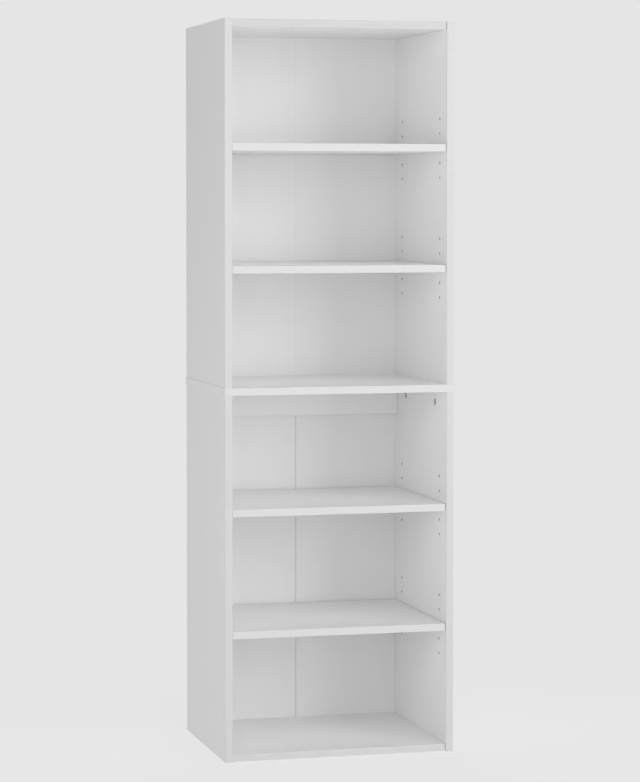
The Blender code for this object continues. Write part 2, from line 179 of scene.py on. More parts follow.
def new_material(name):
    material = bpy.data.materials.new(name)
    material.use_nodes = True
    material.node_tree.nodes.clear()
    return material


def per_metre(millimetres):
    """The scale of a pattern whose features are this many millimetres apart."""
    return 1 / (millimetres * MM)


def melamine_faced(name="melamine_pressed_white"):
    """Melamine paper pressed on with a fine pearl plate: an even, neutral white with a soft, dry sheen."""
    m = new_material(name)
    place = add_node(m, "ShaderNodeTexCoord").outputs["Object"]
    cloud = add_node(m, "ShaderNodeTexNoise", {"Vector": place, "Scale": per_metre(90), "Detail": 3.0})
    tone = add_node(
        m,
        "ShaderNodeMix",
        {0: cloud.outputs[0], 6: linear("#F6F6F6"), 7: linear("#F4F4F4")},
        data_type="RGBA",
    )
    # The pearl texture is 0.15 mm apart on a real board, and 0.5 mm here so that it shows.
    pearl = add_node(m, "ShaderNodeTexNoise", {"Vector": place, "Scale": per_metre(0.5), "Detail": 2.0})
    sheen = add_node(
        m,
        "ShaderNodeMapRange",
        {"Value": pearl.outputs[0], "To Min": 0.40, "To Max": 0.50},
    )
    bump = add_node(
        m,
        "ShaderNodeBump",
        {"Height": pearl.outputs[0], "Strength": 0.25, "Distance": 0.02 * MM},
    )
    surface = add_node(
        m,
        "ShaderNodeBsdfPrincipled",
        {
            "Base Color": tone.outputs[2],
            "Roughness": sheen.outputs[0],
            "IOR": 1.5,
            "Sheen Weight": 0.12,
            "Sheen Roughness": 0.5,
            "Normal": bump.outputs[0],
        },
    )
    add_node(m, "ShaderNodeOutputMaterial", {"Surface": surface.outputs[0]})
    return m


def abs_edging(name, light, dark):
    """Extruded ABS edge band, trimmed flush: smoother than the melamine. The front copies are toned greyer as
    painted shade.
    """
    m = new_material(name)
    place = add_node(m, "ShaderNodeTexCoord").outputs["Object"]
    cloud = add_node(m, "ShaderNodeTexNoise", {"Vector": place, "Scale": per_metre(60), "Detail": 2.0})
    tone = add_node(
        m,
        "ShaderNodeMix",
        {0: cloud.outputs[0], 6: linear(light), 7: linear(dark)},
        data_type="RGBA",
    )
    # Emboss of the extruded strip, drawn 0.7 mm apart so that it shows.
    grain = add_node(m, "ShaderNodeTexNoise", {"Vector": place, "Scale": per_metre(0.7), "Detail": 1.0})
    sheen = add_node(
        m,
        "ShaderNodeMapRange",
        {"Value": grain.outputs[0], "To Min": 0.34, "To Max": 0.42},
    )
    bump = add_node(
        m,
        "ShaderNodeBump",
        {"Height": grain.outputs[0], "Strength": 0.2, "Distance": 0.02 * MM},
    )
    surface = add_node(
        m,
        "ShaderNodeBsdfPrincipled",
        {
            "Base Color": tone.outputs[2],
            "Roughness": sheen.outputs[0],
            "IOR": 1.52,
            "Normal": bump.outputs[0],
        },
    )
    add_node(m, "ShaderNodeOutputMaterial", {"Surface": surface.outputs[0]})
    return m


def chipboard(name="chipboard_sawn"):
    """Sawn or drilled chipboard: pale and brown chips a millimetre or two across, rough and without shine."""
    m = new_material(name)
    place = add_node(m, "ShaderNodeTexCoord").outputs["Object"]
    chips = add_node(
        m, "ShaderNodeTexVoronoi", {"Vector": place, "Scale": per_metre(1.6), "Randomness": 1.0}
    )
    dust = add_node(m, "ShaderNodeTexNoise", {"Vector": place, "Scale": per_metre(0.6), "Detail": 3.0})
    chip_tone = add_node(m, "ShaderNodeSeparateColor", {0: chips.outputs["Color"]})
    wood = add_node(
        m,
        "ShaderNodeMix",
        {0: chip_tone.outputs[0], 6: linear("#DCC6A4"), 7: linear("#AE9068")},
        data_type="RGBA",
    )
    tone = add_node(
        m,
        "ShaderNodeMix",
        {0: dust.outputs[0], 6: wood.outputs[2], 7: linear("#C6AC86")},
        data_type="RGBA",
    )
    bump = add_node(
        m,
        "ShaderNodeBump",
        {"Height": chips.outputs["Distance"], "Strength": 0.6, "Distance": 0.3 * MM},
    )
    surface = add_node(
        m,
        "ShaderNodeBsdfPrincipled",
        {"Base Color": tone.outputs[2], "Roughness": 0.9, "Normal": bump.outputs[0]},
    )
    add_node(m, "ShaderNodeOutputMaterial", {"Surface": surface.outputs[0]})
    return m


def bore_painted_shade_chipboard(name="chipboard_drilled_painted_shade"):
    """The wall of a drilled hole: a dull dark brown painted as shade in the bore, so that the hole reads as a
    dark dot.
    """
    m = new_material(name)
    place = add_node(m, "ShaderNodeTexCoord").outputs["Object"]
    chips = add_node(m, "ShaderNodeTexNoise", {"Vector": place, "Scale": per_metre(1.2), "Detail": 3.0})
    tone = add_node(
        m,
        "ShaderNodeMix",
        {0: chips.outputs[0], 6: linear("#463F39"), 7: linear("#282422")},
        data_type="RGBA",
    )
    bump = add_node(
        m,
        "ShaderNodeBump",
        {"Height": chips.outputs[0], "Strength": 0.5, "Distance": 0.2 * MM},
    )
    surface = add_node(
        m,
        "ShaderNodeBsdfPrincipled",
        {"Base Color": tone.outputs[2], "Roughness": 0.8, "Normal": bump.outputs[0]},
    )
    add_node(m, "ShaderNodeOutputMaterial", {"Surface": surface.outputs[0]})
    return m


def lacquered_hardboard(name="hardboard_lacquered_white"):
    """The front of the backs, roll-coated with white lacquer: a shade duller, with a faint orange peel."""
    m = new_material(name)
    place = add_node(m, "ShaderNodeTexCoord").outputs["Object"]
    cloud = add_node(m, "ShaderNodeTexNoise", {"Vector": place, "Scale": per_metre(70), "Detail": 4.0})
    tone = add_node(
        m,
        "ShaderNodeMix",
        {0: cloud.outputs[0], 6: linear("#F4F4F4"), 7: linear("#F1F1F1")},
        data_type="RGBA",
    )
    peel = add_node(m, "ShaderNodeTexNoise", {"Vector": place, "Scale": per_metre(1.2), "Detail": 2.0})
    sheen = add_node(
        m,
        "ShaderNodeMapRange",
        {"Value": peel.outputs[0], "To Min": 0.46, "To Max": 0.58},
    )
    bump = add_node(
        m,
        "ShaderNodeBump",
        {"Height": peel.outputs[0], "Strength": 0.3, "Distance": 0.03 * MM},
    )
    surface = add_node(
        m,
        "ShaderNodeBsdfPrincipled",
        {
            "Base Color": tone.outputs[2],
            "Roughness": sheen.outputs[0],
            "IOR": 1.5,
            "Normal": bump.outputs[0],
        },
    )
    add_node(m, "ShaderNodeOutputMaterial", {"Surface": surface.outputs[0]})
    return m


def bare_hardboard(name="hardboard_pressed_bare"):
    """The rear of the backs, pressed wood fibre left bare: mid brown, mottled, with short darker fibres."""
    m = new_material(name)
    place = add_node(m, "ShaderNodeTexCoord").outputs["Object"]
    across = add_node(m, "ShaderNodeMapping", {"Vector": place, "Scale": (1.0, 1.0, 0.25)})
    fibre = add_node(
        m,
        "ShaderNodeTexNoise",
        {"Vector": across.outputs[0], "Scale": per_metre(1.0), "Detail": 4.0, "Distortion": 1.0},
    )
    cloud = add_node(m, "ShaderNodeTexNoise", {"Vector": place, "Scale": per_metre(45), "Detail": 3.0})
    mottle = add_node(
        m,
        "ShaderNodeMix",
        {0: cloud.outputs[0], 6: linear("#B4946C"), 7: linear("#A28058")},
        data_type="RGBA",
    )
    tone = add_node(
        m,
        "ShaderNodeMix",
        {0: fibre.outputs[0], 6: mottle.outputs[2], 7: linear("#8E6E4A")},
        data_type="RGBA",
    )
    bump = add_node(
        m,
        "ShaderNodeBump",
        {"Height": fibre.outputs[0], "Strength": 0.4, "Distance": 0.1 * MM},
    )
    surface = add_node(
        m,
        "ShaderNodeBsdfPrincipled",
        {"Base Color": tone.outputs[2], "Roughness": 0.72, "Normal": bump.outputs[0]},
    )
    add_node(m, "ShaderNodeOutputMaterial", {"Surface": surface.outputs[0]})
    return m


# The wave texture repeats whenever twenty times its position has passed 2 pi. Real threads stand about a
# millimetre apart, and five here so that they show.
WAVES = 20 / (2 * math.pi)
THREADS_APART = 5.0265


def cloth_tape(name="cloth_tape_white"):
    """White cloth-backed tape: a fine crossed weave under plastic, a little shinier than the boards."""
    m = new_material(name)
    place = add_node(m, "ShaderNodeTexCoord").outputs["Object"]
    threads = {"Vector": place, "Scale": per_metre(THREADS_APART) / WAVES, "Distortion": 0.0}
    warp = add_node(m, "ShaderNodeTexWave", threads, bands_direction="X")
    weft = add_node(m, "ShaderNodeTexWave", threads, bands_direction="Z")
    weave = add_node(m, "ShaderNodeMath", {0: warp.outputs[1], 1: weft.outputs[1]}, operation="MAXIMUM")
    tone = add_node(
        m,
        "ShaderNodeMix",
        {0: weave.outputs[0], 6: linear("#D6D6D2"), 7: linear("#E6E6E3")},
        data_type="RGBA",
    )
    bump = add_node(
        m,
        "ShaderNodeBump",
        {"Height": weave.outputs[0], "Strength": 0.5, "Distance": 0.08 * MM},
    )
    surface = add_node(
        m,
        "ShaderNodeBsdfPrincipled",
        {"Base Color": tone.outputs[2], "Roughness": 0.42, "Normal": bump.outputs[0]},
    )
    add_node(m, "ShaderNodeOutputMaterial", {"Surface": surface.outputs[0]})
    return m


def zinc_plated_steel(name="steel_zinc_plated"):
    """Bright zinc plate on drawn or rolled steel: silver with a faint blue cast and small duller spots."""
    m = new_material(name)
    place = add_node(m, "ShaderNodeTexCoord").outputs["Object"]
    spots = add_node(m, "ShaderNodeTexNoise", {"Vector": place, "Scale": per_metre(2.5), "Detail": 4.0})
    tone = add_node(
        m,
        "ShaderNodeMix",
        {0: spots.outputs[0], 6: linear("#C9CCD1"), 7: linear("#AEB1B6")},
        data_type="RGBA",
    )
    dull = add_node(
        m,
        "ShaderNodeMapRange",
        {"Value": spots.outputs[0], "To Min": 0.22, "To Max": 0.38},
    )
    surface = add_node(
        m,
        "ShaderNodeBsdfPrincipled",
        {"Base Color": tone.outputs[2], "Metallic": 1.0, "Roughness": dull.outputs[0]},
    )
    add_node(m, "ShaderNodeOutputMaterial", {"Surface": surface.outputs[0]})
    return m


def die_cast_zinc(name, light, dark):
    """Die-cast zinc as it leaves the mould: grey metal, dulled by a fine sandy grain."""
    m = new_material(name)
    place = add_node(m, "ShaderNodeTexCoord").outputs["Object"]
    sand = add_node(m, "ShaderNodeTexNoise", {"Vector": place, "Scale": per_metre(0.4), "Detail": 3.0})
    cloud = add_node(m, "ShaderNodeTexNoise", {"Vector": place, "Scale": per_metre(5), "Detail": 2.0})
    tone = add_node(
        m,
        "ShaderNodeMix",
        {0: cloud.outputs[0], 6: linear(light), 7: linear(dark)},
        data_type="RGBA",
    )
    dull = add_node(
        m,
        "ShaderNodeMapRange",
        {"Value": sand.outputs[0], "To Min": 0.36, "To Max": 0.55},
    )
    bump = add_node(
        m,
        "ShaderNodeBump",
        {"Height": sand.outputs[0], "Strength": 0.35, "Distance": 0.05 * MM},
    )
    surface = add_node(
        m,
        "ShaderNodeBsdfPrincipled",
        {
            "Base Color": tone.outputs[2],
            "Metallic": 1.0,
            "Roughness": dull.outputs[0],
            "Normal": bump.outputs[0],
        },
    )
    add_node(m, "ShaderNodeOutputMaterial", {"Surface": surface.outputs[0]})
    return m


def turned_beech(name="beech_turned"):
    """Kiln-dried beech turned to a rod: pinkish tan, with short dark flecks along the grain."""
    m = new_material(name)
    along = add_node(m, "ShaderNodeUVMap", uv_map="grain").outputs["UV"]
    stretched = add_node(m, "ShaderNodeMapping", {"Vector": along, "Scale": (1.0, 0.12, 1.0)})
    flecks = add_node(
        m,
        "ShaderNodeTexNoise",
        {"Vector": stretched.outputs[0], "Scale": per_metre(0.35), "Detail": 3.0},
    )
    tone = add_node(
        m,
        "ShaderNodeMix",
        {0: flecks.outputs[0], 6: linear("#D9B68A"), 7: linear("#A97F55")},
        data_type="RGBA",
    )
    bump = add_node(
        m,
        "ShaderNodeBump",
        {"Height": flecks.outputs[0], "Strength": 0.3, "Distance": 0.05 * MM},
    )
    surface = add_node(
        m,
        "ShaderNodeBsdfPrincipled",
        {"Base Color": tone.outputs[2], "Roughness": 0.68, "Normal": bump.outputs[0]},
    )
    add_node(m, "ShaderNodeOutputMaterial", {"Surface": surface.outputs[0]})
    return m


def lit_floor(name="floor_lit_acrylic"):
    """A pale studio floor of opal sheet lit from under, so even that hardly any shadow shows on it."""
    m = new_material(name)
    place = add_node(m, "ShaderNodeTexCoord").outputs["Object"]
    away = add_node(m, "ShaderNodeVectorMath", {0: place}, operation="LENGTH")
    near = add_node(
        m,
        "ShaderNodeMapRange",
        {
            "Value": away.outputs["Value"],
            "From Min": FLOOR_FADE[0],
            "From Max": FLOOR_FADE[1],
            "To Min": 1.0,
            "To Max": 0.0,
        },
        interpolation_type="SMOOTHSTEP",
    )
    tone = add_node(
        m,
        "ShaderNodeMix",
        {0: near.outputs[0], 6: linear("#000000"), 7: linear("#616161")},
        data_type="RGBA",
    )
    glow = add_node(
        m,
        "ShaderNodeMapRange",
        {"Value": near.outputs[0], "To Min": FLOOR_GLOW[1], "To Max": FLOOR_GLOW[0]},
    )
    surface = add_node(
        m,
        "ShaderNodeBsdfPrincipled",
        {
            "Base Color": tone.outputs[2],
            "Roughness": 0.95,
            "Specular IOR Level": 0.0,
            "Emission Color": (1.0, 1.0, 1.0, 1.0),
            "Emission Strength": glow.outputs[0],
        },
    )
    add_node(m, "ShaderNodeOutputMaterial", {"Surface": surface.outputs[0]})
    return m


MELAMINE = melamine_faced()
# The front edgings are greyer copies of the white ABS, each toned for its board as painted shade; the other
# edges keep the white.
CARCASS_FRONT_EDGING_PAINTED_SHADE = abs_edging("abs_extruded_carcass_painted_shade", "#C9C9C9", "#C7C7C7")
SHELF_FRONT_EDGING_PAINTED_SHADE = abs_edging("abs_extruded_shelf_painted_shade", "#CFCFCF", "#CDCDCD")
TOP_FRONT_EDGING_PAINTED_SHADE = abs_edging("abs_extruded_top_painted_shade", "#C3C3C3", "#C1C1C1")
END_ABS = abs_edging("abs_extruded_end", "#F6F6F6", "#F4F4F4")
CHIPBOARD = chipboard()
BORE_PAINTED_SHADE = bore_painted_shade_chipboard()
LACQUERED = lacquered_hardboard()
HARDBOARD = bare_hardboard()
TAPE = cloth_tape()
PLATED = zinc_plated_steel()
DIE_CAST = die_cast_zinc("zinc_die_cast", "#DDDDDD", "#CBCBCB")
# A dark copy of the zinc for the walls of the cross for the driver: painted shade in the recess, so it reads
# against the tumbled face.
CROSS_PAINTED_SHADE = die_cast_zinc("zinc_die_cast_cross_painted_shade", "#4A4A4A", "#343434")
BEECH = turned_beech()


# ---- Tools that shape and settle pieces ----


def new_object(bm, name, *materials):
    """A closed mesh as a linked object, its faces turned outwards."""
    bmesh.ops.recalc_face_normals(bm, faces=bm.faces)
    mesh = bpy.data.meshes.new(name)
    bm.to_mesh(mesh)
    bm.free()
    for material in materials:
        mesh.materials.append(material)
    obj = bpy.data.objects.new(name, mesh)
    bpy.context.scene.collection.objects.link(obj)
    return obj


def settle(obj, body, slot, *nodes):
    """Puts a finished piece on its body, in place of the nodes that it stands for. Its slot is not used."""
    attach(obj, body)
    if nodes:
        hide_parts(*nodes)


def add_box(bm, low, high):
    low, high = Vector(low), Vector(high)
    size = Matrix.Diagonal((*(high - low), 1.0))
    made = bmesh.ops.create_cube(bm, size=1.0, matrix=Matrix.Translation((low + high) / 2) @ size)
    return made["verts"]


def square_to(axis):
    """A unit vector at right angles to an axis."""
    other = Vector((1, 0, 0)) if abs(axis.x) < 0.5 else Vector((0, 1, 0))
    return axis.cross(other).normalized()


def add_turned(bm, profile, segments, at=(0, 0, 0), axis=(0, 0, 1)):
    """Turns a profile of (radius, height) that starts and ends on the axis."""
    at, axis = Vector(at), Vector(axis).normalized()
    out = square_to(axis)
    verts = [bm.verts.new(at + out * radius + axis * height) for radius, height in profile]
    edges = [bm.edges.new(pair) for pair in zip(verts, verts[1:])]
    bmesh.ops.spin(
        bm,
        geom=verts + edges,
        cent=at,
        axis=axis,
        angle=2 * math.pi,
        steps=segments,
        use_merge=True,
        use_duplicate=False,
    )


def close_poles(bm):
    bmesh.ops.remove_doubles(bm, verts=bm.verts, dist=MERGE)


def shade_by_angle(obj, degrees):
    obj.data.shade_smooth()
    obj.data.set_sharp_from_angle(angle=math.radians(degrees))


def combine(obj, bm, operation, wall=0):
    """Cuts a shape out of an object, or joins it on. The new walls take the material at index wall."""
    for face in bm.faces:
        face.material_index = wall
    other = new_object(bm, "tool", *obj.data.materials)
    modifier = obj.modifiers.new("Combine", "BOOLEAN")
    modifier.operation = operation
    modifier.solver = "EXACT"
    modifier.use_self = True
    modifier.object = other
    graph = bpy.context.evaluated_depsgraph_get()
    mesh = bpy.data.meshes.new_from_object(obj.evaluated_get(graph))
    mesh.name = obj.name
    obj.modifiers.remove(modifier)
    obj.data = mesh
    bpy.data.objects.remove(other, do_unlink=True)


def extrude(bm, face, by, scale=1.0):
    """Extrudes a face, scales its end about its centre, and returns the end face."""
    made = bmesh.ops.extrude_face_region(bm, geom=[face, *face.edges, *face.verts])
    end = next(item for item in made["geom"] if isinstance(item, bmesh.types.BMFace))
    bmesh.ops.translate(bm, vec=by, verts=end.verts)
    centre = end.calc_center_median()
    bmesh.ops.scale(bm, vec=(scale,) * 3, space=Matrix.Translation(-centre), verts=end.verts)
    return end


def bend(bm, face, centre, angle):
    """Sweeps a face through an angle about an upright axis, and returns the end face."""
    made = bmesh.ops.spin(
        bm,
        geom=[face, *face.edges, *face.verts],
        cent=centre,
        axis=(0, 0, 1),
        angle=angle,
        steps=BEND_STEPS,
        use_merge=False,
        use_duplicate=False,
    )
    return next(item for item in made["geom_last"] if isinstance(item, bmesh.types.BMFace))


# ---- Where the fittings go, read from the frame ----


def box_of(node):
    low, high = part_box(node)
    return low, high, (low + high) / 2


def inner_face(unit, hand_name):
    low, high, _ = box_of(f"{unit}_{hand_name}_side")
    return high.x if hand_name == "left" else low.x


class Hole:
    """A hole in one board, from its mouth inwards."""

    def __init__(self, mouth, into, radius, depth, pointed=True):
        self.mouth, self.into = Vector(mouth), Vector(into)
        self.radius, self.depth, self.pointed = radius, depth, pointed

    def add_to(self, bm):
        floor = self.depth + (self.radius * BIT_POINT if self.pointed else 0)
        flare = self.radius + RIM + CLEAR
        profile = [
            (0, -CLEAR),
            (flare, -CLEAR),
            (self.radius, RIM),
            (self.radius, self.depth),
            (0, floor),
        ]
        add_turned(bm, profile, BIT_SEGMENTS, self.mouth, self.into)


holes = {}


def drill(board, *args, **options):
    holes.setdefault(board, []).append(Hole(*args, **options))


def wire_columns(shelf, hand_name):
    """The two depths and the height at which a shelf's wire enters the side, and the wire's radius."""
    low, high, middle = box_of(f"{shelf}_wire_{hand_name}")
    radius = (high.z - low.z) / 2
    return (low.y + radius, high.y - radius), middle.z, radius


def plan_wire_holes():
    for unit, shelves in UNITS.items():
        for hand_name, hand in HANDS.items():
            side, x = f"{unit}_{hand_name}_side", inner_face(unit, hand_name)
            for shelf in shelves:
                columns, height, radius = wire_columns(shelf, hand_name)
                for step in range(-HOLES_EITHER_WAY, HOLES_EITHER_WAY + 1):
                    for y in columns:
                        mouth = (x, y, height + step * HOLE_PITCH)
                        drill(side, mouth, (hand, 0, 0), radius + HOLE_FIT, HOLE_DEPTH)


def fitting_axes(family, hand_name):
    """The way a family's cams face, and the way their bolts point."""
    hand = HANDS[hand_name]
    if family == "middle":
        return Vector((-hand, 0, 0)), Vector((0, 0, -1))
    return Vector((0, 0, 1 if family == "top" else -1)), Vector((-hand, 0, 0))


def end_of(node, direction):
    """The middle of the face of a node's box that looks along a direction."""
    low, high, middle = box_of(node)
    half = (high - low) / 2
    return middle + Vector(part * size for part, size in zip(direction, half))


FAMILIES = {
    "bottom": ("bottom_panel", "lower_{}_side"),
    "middle": ("lower_{}_side", "middle_panel"),
    "top": ("top_panel", "upper_{}_side"),
}


def each_fitting():
    """Every cam and bolt pair: its name, the board with the cam, the board with the bolt, and its axes."""
    for family, boards in FAMILIES.items():
        for hand_name in HANDS:
            cam_board, bolt_board = (board.format(hand_name) for board in boards)
            for row in ROWS:
                name = f"{family}_{hand_name}_{row}"
                yield name, cam_board, bolt_board, *fitting_axes(family, hand_name)


def plan_cam_and_bolt_holes():
    for name, cam_board, bolt_board, facing, pointing in each_fitting():
        face = end_of(f"{name}_cam", facing)
        low, high, middle = box_of(f"{name}_cam")
        radius = (high.y - low.y) / 2
        depth = abs((high - low).dot(facing))
        tip = end_of(f"{name}_bolt", -pointing)
        joint = tip + pointing * THREAD_LENGTH
        surface = end_of(cam_board, facing).dot(facing) - face.dot(facing)
        mouth = face + facing * surface
        drill(cam_board, mouth, -facing, radius + CAM_FIT, depth + surface + HOLE_FIT, pointed=False)
        entry = end_of(cam_board, -pointing)
        start = joint + pointing * (entry - joint).dot(pointing)
        reach = (middle - start).dot(pointing)
        drill(cam_board, start, pointing, BOLT_BORE_RADIUS, reach, pointed=False)
        drill(bolt_board, joint, -pointing, THREAD_RADIUS + HOLE_FIT, THREAD_LENGTH + HOLE_FIT)


class Dowel:
    """A dowel across a joint: a short bite behind the joint and a long one ahead of it."""

    def __init__(self, name, joint, pointing, short_board, long_board, node=None):
        self.name, self.joint, self.pointing, self.node = name, Vector(joint), Vector(pointing), node
        drill(short_board, joint, -self.pointing, DOWEL_RADIUS + HOLE_FIT, DOWEL_SHORT_BITE + HOLE_FIT)
        drill(long_board, joint, self.pointing, DOWEL_RADIUS + HOLE_FIT, DOWEL_LONG_BITE + HOLE_FIT)


def framed_dowel(name, pointing, short_board, long_board):
    joint = end_of(name, -Vector(pointing)) + Vector(pointing) * DOWEL_SHORT_BITE
    return Dowel(f"fluted_{name}", joint, pointing, short_board, long_board, name)


def plan_dowels():
    dowels = []
    for hand_name, hand in HANDS.items():
        lower, upper = f"lower_{hand_name}_side", f"upper_{hand_name}_side"
        for row in ROWS:
            name = f"stacking_dowel_{hand_name}_{row}"
            dowels.append(framed_dowel(name, (0, 0, 1), "middle_panel", upper))
        for row in ("lower", "upper"):
            name = f"rail_dowel_{hand_name}_{row}"
            dowels.append(framed_dowel(name, (-hand, 0, 0), lower, "lower_back_rail"))
        columns, _, _ = wire_columns("lower_shelf_1", hand_name)
        for row, y, inward in zip(ROWS, columns, (1, -1)):
            for family, side in (("bottom", lower), ("top", upper)):
                _, _, panel = box_of(f"{family}_panel")
                x = inner_face(side.split("_")[0], hand_name)
                name = f"{family}_locating_dowel_{hand_name}_{row}"
                dowels.append(Dowel(name, (x, y, panel.z), (-hand, 0, 0), side, f"{family}_panel"))
            top = end_of(lower, (0, 0, 1))
            joint = (top.x, y + 2 * inward * HOLE_PITCH, top.z)
            name = f"middle_locating_dowel_{hand_name}_{row}"
            dowels.append(Dowel(name, joint, (0, 0, -1), "middle_panel", lower))
    return dowels


# ---- Boards ----

# The axis of each edge, and whether it lies at the low end or the high end of it
EDGES = {"front": (1, 0), "left": (0, 0), "right": (0, 1), "top": (2, 1), "under": (2, 0)}

# A face whose normal has a part above this lies square to an axis.
SQUARE_ON = 0.9999


def make_edging(name, low, high, axis, end, body, edging):
    """A strip of edging with its outer arrises rounded over."""
    bm = bmesh.new()
    add_box(bm, low, high)
    outer = (high if end else low)[axis]
    edges = [e for e in bm.edges if all(abs(v.co[axis] - outer) < EDGING / 4 for v in e.verts)]
    bmesh.ops.bevel(
        bm,
        geom=edges,
        offset=EDGING_ROUND,
        segments=ROUND_STEPS,
        profile=0.5,
        affect="EDGES",
        material=-1,
    )
    bmesh.ops.recalc_face_normals(bm, faces=bm.faces)
    for face in bm.faces:
        face.smooth = True
    for edge in bm.edges:
        edge.smooth = not any(max(map(abs, face.normal)) > SQUARE_ON for face in edge.link_faces)
    settle(new_object(bm, name, edging), body, "white_board")


def make_board(node, banded, body="carcass", groove=None, edging=CARCASS_FRONT_EDGING_PAINTED_SHADE):
    """A faced chipboard core and the edgings on its banded edges, inside a node's box."""
    low, high, _ = box_of(node)
    if node.startswith("upper_") and node.endswith("_side"):
        low.z -= SEATING["upper"]
    elif node.startswith("lower_") and node.endswith("_side"):
        high.z += SEATING["lower"]
    thin = min(range(3), key=lambda axis: high[axis] - low[axis])
    for side in banded:
        axis, end = EDGES[side]
        strip_low, strip_high = low.copy(), high.copy()
        if end:
            high[axis] -= EDGING
            strip_low[axis] = high[axis]
        else:
            low[axis] += EDGING
            strip_high[axis] = low[axis]
        # Front strips take the board's greyer copy with painted shade, and the other edges the white ABS.
        strip = edging if side == "front" else END_ABS
        make_edging(f"{node}_{side}_edging", strip_low, strip_high, axis, end, body, strip)

    bm = bmesh.new()
    add_box(bm, low, high)
    bmesh.ops.bevel(
        bm,
        geom=bm.edges,
        offset=ARRIS,
        segments=1,
        profile=0.5,
        affect="EDGES",
        material=-1,
    )
    for face in bm.faces:
        face.material_index = 0 if abs(face.normal[thin]) > SQUARE_ON else 1
    core = new_object(bm, f"{node}_core", MELAMINE, CHIPBOARD, BORE_PAINTED_SHADE)
    if groove:
        combine(core, groove, "DIFFERENCE", wall=1)
    if node in holes:
        bits = bmesh.new()
        for hole in holes[node]:
            hole.add_to(bits)
        close_poles(bits)
        # The holes' walls take the dark bore material: painted shade inside the holes.
        combine(core, bits, "DIFFERENCE", wall=2)
    shade_by_angle(core, BOARD_CREASE)
    settle(core, body, "white_board", node)


def shelf_grooves(shelf):
    """A stopped groove in each end of a shelf, open at the rear, that slides over the wire."""
    low, high, _ = box_of(shelf)
    bm = bmesh.new()
    for hand_name, hand in HANDS.items():
        columns, height, radius = wire_columns(shelf, hand_name)
        end = low.x if hand < 0 else high.x
        edges = sorted((end - hand * GROOVE_DEPTH, end + hand * CLEAR))
        stop = columns[0] - radius - GROOVE_ABOVE
        add_box(
            bm,
            (edges[0], stop, height - radius - GROOVE_BELOW),
            (edges[1], high.y + CLEAR, height + radius + GROOVE_ABOVE),
        )
    return bm


def make_boards():
    for hand_name in HANDS:
        make_board(f"lower_{hand_name}_side", ("front",))
        make_board(f"upper_{hand_name}_side", ("front", "top"))
    make_board("bottom_panel", ("front",))
    make_board("middle_panel", ("front", "left", "right"), edging=SHELF_FRONT_EDGING_PAINTED_SHADE)
    make_board("top_panel", ("front",), edging=TOP_FRONT_EDGING_PAINTED_SHADE)
    make_board("lower_back_rail", ("under",))
    for shelf in SHELVES:
        make_board(shelf, ("front",), shelf, shelf_grooves(shelf), SHELF_FRONT_EDGING_PAINTED_SHADE)


# ---- Backs, tape and nails ----


def make_back(node):
    """Hardboard lacquered on the face that looks into the bookcase and over its edges, and bare behind."""
    low, high, _ = box_of(node)
    bm = bmesh.new()
    add_box(bm, low, high)
    bmesh.ops.bevel(
        bm,
        geom=bm.edges,
        offset=ARRIS,
        segments=1,
        profile=0.5,
        affect="EDGES",
        material=-1,
    )
    for face in bm.faces:
        face.material_index = 1 if face.normal.y > 0.1 else 0
    settle(new_object(bm, f"{node}_panel", LACQUERED, HARDBOARD), "carcass", "white_hardboard", node)


def make_tape(unit):
    """Tape over the joint behind, with a fold pressed forwards into the seam until it is almost flush."""
    node = f"{unit}_back_tape"
    low, high, _ = box_of(node)
    left_low, left_high, _ = box_of(f"{unit}_back_left")
    right_low, _, _ = box_of(f"{unit}_back_right")
    gap = right_low.x - left_high.x
    fold = gap * (1 - SEAM_PLAY) / 2
    tip = left_low.y + SEAM_SINK * gap
    profile = [
        (-fold, tip),
        (fold, tip),
        (fold, low.y),
        (high.x, low.y),
        (high.x, high.y),
        (low.x, high.y),
        (low.x, low.y),
        (-fold, low.y),
    ]
    bm = bmesh.new()
    face = bm.faces.new([bm.verts.new((x, y, low.z)) for x, y in profile])
    extrude(bm, face, Vector((0, 0, high.z - low.z)))
    settle(new_object(bm, f"{node}_folded", TAPE), "carcass", "tape", node)


def spread(start, end):
    """Evenly spaced places from start to end, about a nail spacing apart."""
    count = max(1, round(abs(end - start) / NAIL_SPACING))
    return [start + (end - start) * i / count for i in range(count + 1)]


def nail_places(unit, hand_name, back):
    """Where nails go through one half of a back, into the middle of the board edges behind which it lies."""
    low, high, _ = box_of(back)
    _, _, side = box_of(f"{unit}_{hand_name}_side")
    places = [(side.x, z) for z in spread(low.z + NAIL_FROM_END, high.z - NAIL_FROM_END)]
    seam, outer = (high.x, low.x) if hand_name == "left" else (low.x, high.x)
    hand = HANDS[hand_name]
    across = spread(seam + hand * NAIL_FROM_END, outer - hand * 2 * NAIL_FROM_END)
    boards = {"lower": ("bottom_panel", "lower_back_rail"), "upper": ("top_panel",)}
    for board in boards[unit]:
        _, _, middle = box_of(board)
        places += [(x, middle.z) for x in across]
    return places


def make_nails(unit, hand_name):
    back = f"{unit}_back_{hand_name}"
    _, high, _ = box_of(back)
    profile = [
        (0, NAIL_HEAD),
        (NAIL_HEAD_RADIUS * NAIL_CROWN_FLAT, NAIL_HEAD - NAIL_CROWN_SLOPE),
        (NAIL_HEAD_RADIUS, NAIL_HEAD - NAIL_CROWN),
        (NAIL_HEAD_RADIUS, 0),
        (NAIL_RADIUS, 0),
        (NAIL_RADIUS, NAIL_POINT - NAIL_LENGTH),
        (0, -NAIL_LENGTH),
    ]
    bm = bmesh.new()
    for x, z in nail_places(unit, hand_name, back):
        add_turned(bm, profile, NAIL_SEGMENTS, (x, high.y, z), (0, 1, 0))
    close_poles(bm)
    nails = new_object(bm, f"{back}_nails", PLATED)
    shade_by_angle(nails, NAIL_CREASE)
    settle(nails, "carcass", "bolt_steel")


def make_backs():
    for unit in UNITS:
        for hand_name in HANDS:
            make_back(f"{unit}_back_{hand_name}")
            make_nails(unit, hand_name)
        make_tape(unit)


# ---- Fittings ----


